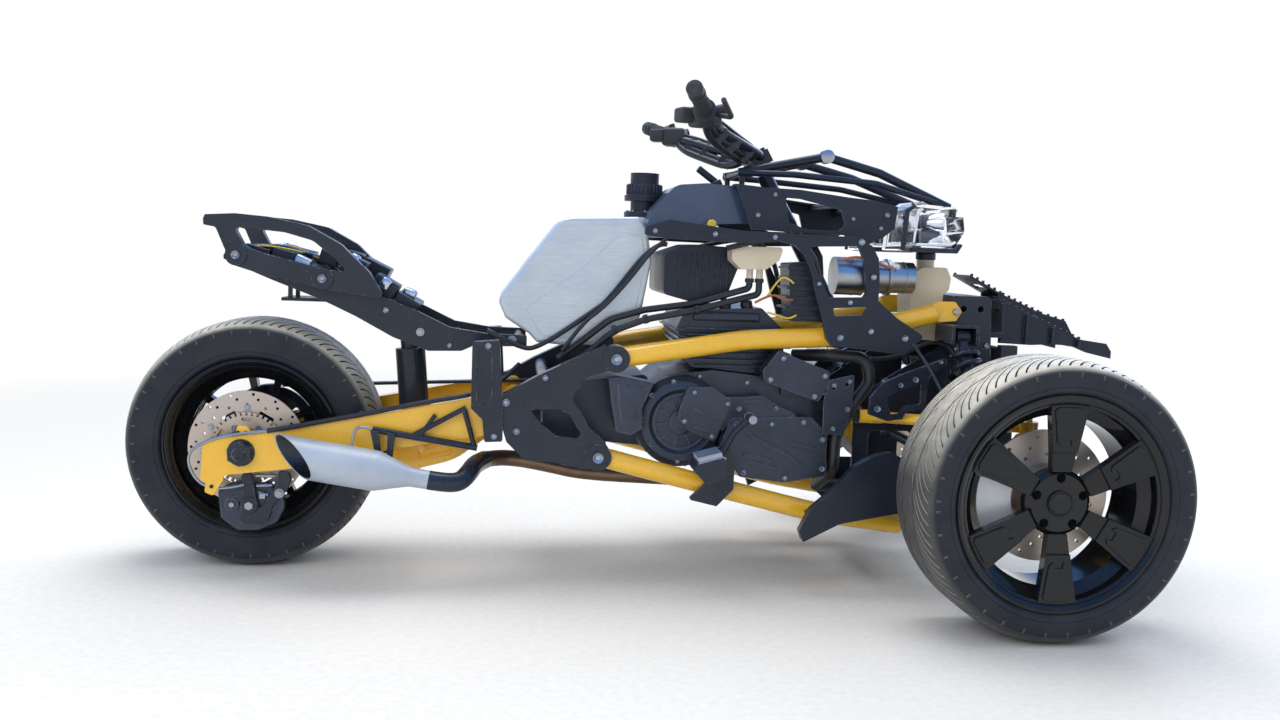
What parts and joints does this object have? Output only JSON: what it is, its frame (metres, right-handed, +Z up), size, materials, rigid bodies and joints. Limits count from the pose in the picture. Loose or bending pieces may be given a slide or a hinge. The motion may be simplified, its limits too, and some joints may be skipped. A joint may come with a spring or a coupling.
{
  "type": "reverse trike",
  "caption": "Reverse trike stripped of bodywork: steered front wheels, open tubular frame and engine, belt-driven rear wheel.",
  "frame": {"origin": "on the ground under the middle of the vehicle's length, on its centre plane", "axes": "+X forward, +Y to the vehicle's left, +Z up"},
  "size_m": [2.445, 1.3852, 1.1771],
  "materials": {
    "yellow_paint": "glossy golden-yellow paint",
    "black_paint": "satin black powder coat",
    "gloss_black": "gloss black wheel paint",
    "engine_metal": "dark grey-blue engine paint",
    "raw_aluminium": "bare brushed aluminium",
    "silencer_paint": "satin grey-blue heat paint",
    "brake_steel": "brake steel with a tan film",
    "steel": "machined steel",
    "caliper_silver": "silver caliper paint",
    "plastic_black": "grained black plastic",
    "cover_blue_black": "smooth blue-black plastic",
    "cream_plastic": "translucent cream plastic",
    "hose_rubber": "black hose rubber",
    "tyre_rubber": "dusty tyre rubber",
    "lamp_lens": "clear lamp lens",
    "grip_rubber": "black grip rubber"
  },
  "bodies": {
    "chassis": {"frame_tubes": "yellow_paint", "rear_frame": "black_paint", "front_bulkhead": "black_paint", "tail_subframe": "black_paint", "grab_rails": "black_paint", "engine_case": "engine_metal", "engine_covers": "engine_metal", "cylinder_head": "engine_metal", "fuel_tank": "raw_aluminium", "filler_cap": "plastic_black", "air_box": "plastic_black", "control_box": "plastic_black", "coolant_bottle": "cream_plastic", "fluid_reservoir": "cream_plastic", "pump_motor": "steel", "dash_cover": "cover_blue_black", "side_carriers": "plastic_black", "upper_cowl": "plastic_black", "nose_trellis": "plastic_black", "headlights": "lamp_lens", "nose_supports": "plastic_black", "deflectors": "plastic_black", "front_braces": "black_paint", "radiator": "black_paint", "foot_controls": "black_paint", "muffler": "silencer_paint", "muffler_bracket": "black_paint", "swingarm": "yellow_paint", "rear_axle": "steel", "rear_caliper": "black_paint", "rear_shock": "black_paint", "drive_belt": "hose_rubber", "hoses": "hose_rubber", "upper_arms": "yellow_paint", "lower_arms": "black_paint", "front_shocks": "black_paint", "steering_column": "black_paint"},
    "steering_link": {"tie_rods": "black_paint"},
    "bars": {"handlebar": "black_paint", "bar_controls": "grip_rubber"},
    "rear_wheel": {"rear_rim": "gloss_black", "rear_tyre": "tyre_rubber", "rear_disc": "brake_steel", "rear_pulley": "black_paint"},
    "upright_right": {"knuckle_right": "yellow_paint", "caliper_right": "caliper_silver"},
    "front_wheel_right": {"front_rim_right": "gloss_black", "front_tyre_right": "tyre_rubber", "front_disc_right": "brake_steel"},
    "upright_left": {"knuckle_left": "yellow_paint", "caliper_left": "caliper_silver"},
    "front_wheel_left": {"front_rim_left": "gloss_black", "front_tyre_left": "tyre_rubber", "front_disc_left": "brake_steel"}
  },
  "joints": [
    {"name": "handlebar_turn", "type": "hinge", "parent": "chassis", "child": "bars", "pos_m": [0.3125, 0, 1.045], "axis": [-0.5, 0, 0.866], "range_deg": [-25, 25]},
    {"name": "link_slide", "type": "slide", "parent": "chassis", "child": "steering_link", "axis": [0, 1, 0], "range_m": [-0.047, 0.047]},
    {"name": "rear_wheel_spin", "type": "hinge", "parent": "chassis", "child": "rear_wheel", "pos_m": [-0.9195, 0, 0.303], "axis": [0, 1, 0], "continuous": true},
    {"name": "steer_right", "type": "hinge", "parent": "chassis", "child": "upright_right", "pos_m": [0.8605, -0.49, 0.306], "axis": [0, 0, 1], "range_deg": [-26, 26]},
    {"name": "front_wheel_spin_right", "type": "hinge", "parent": "upright_right", "child": "front_wheel_right", "pos_m": [0.8605, -0.58, 0.306], "axis": [0, 1, 0], "continuous": true},
    {"name": "steer_left", "type": "hinge", "parent": "chassis", "child": "upright_left", "pos_m": [0.8605, 0.49, 0.306], "axis": [0, 0, 1], "range_deg": [-26, 26]},
    {"name": "front_wheel_spin_left", "type": "hinge", "parent": "upright_left", "child": "front_wheel_left", "pos_m": [0.8605, 0.58, 0.306], "axis": [0, 1, 0], "continuous": true}
  ],
  "couplings": [
    {"joint": "steer_right", "follows": "handlebar_turn", "ratio": 1},
    {"joint": "steer_left", "follows": "handlebar_turn", "ratio": 1},
    {"joint": "link_slide", "follows": "handlebar_turn", "m_per_rad": -0.1066}
  ]
}
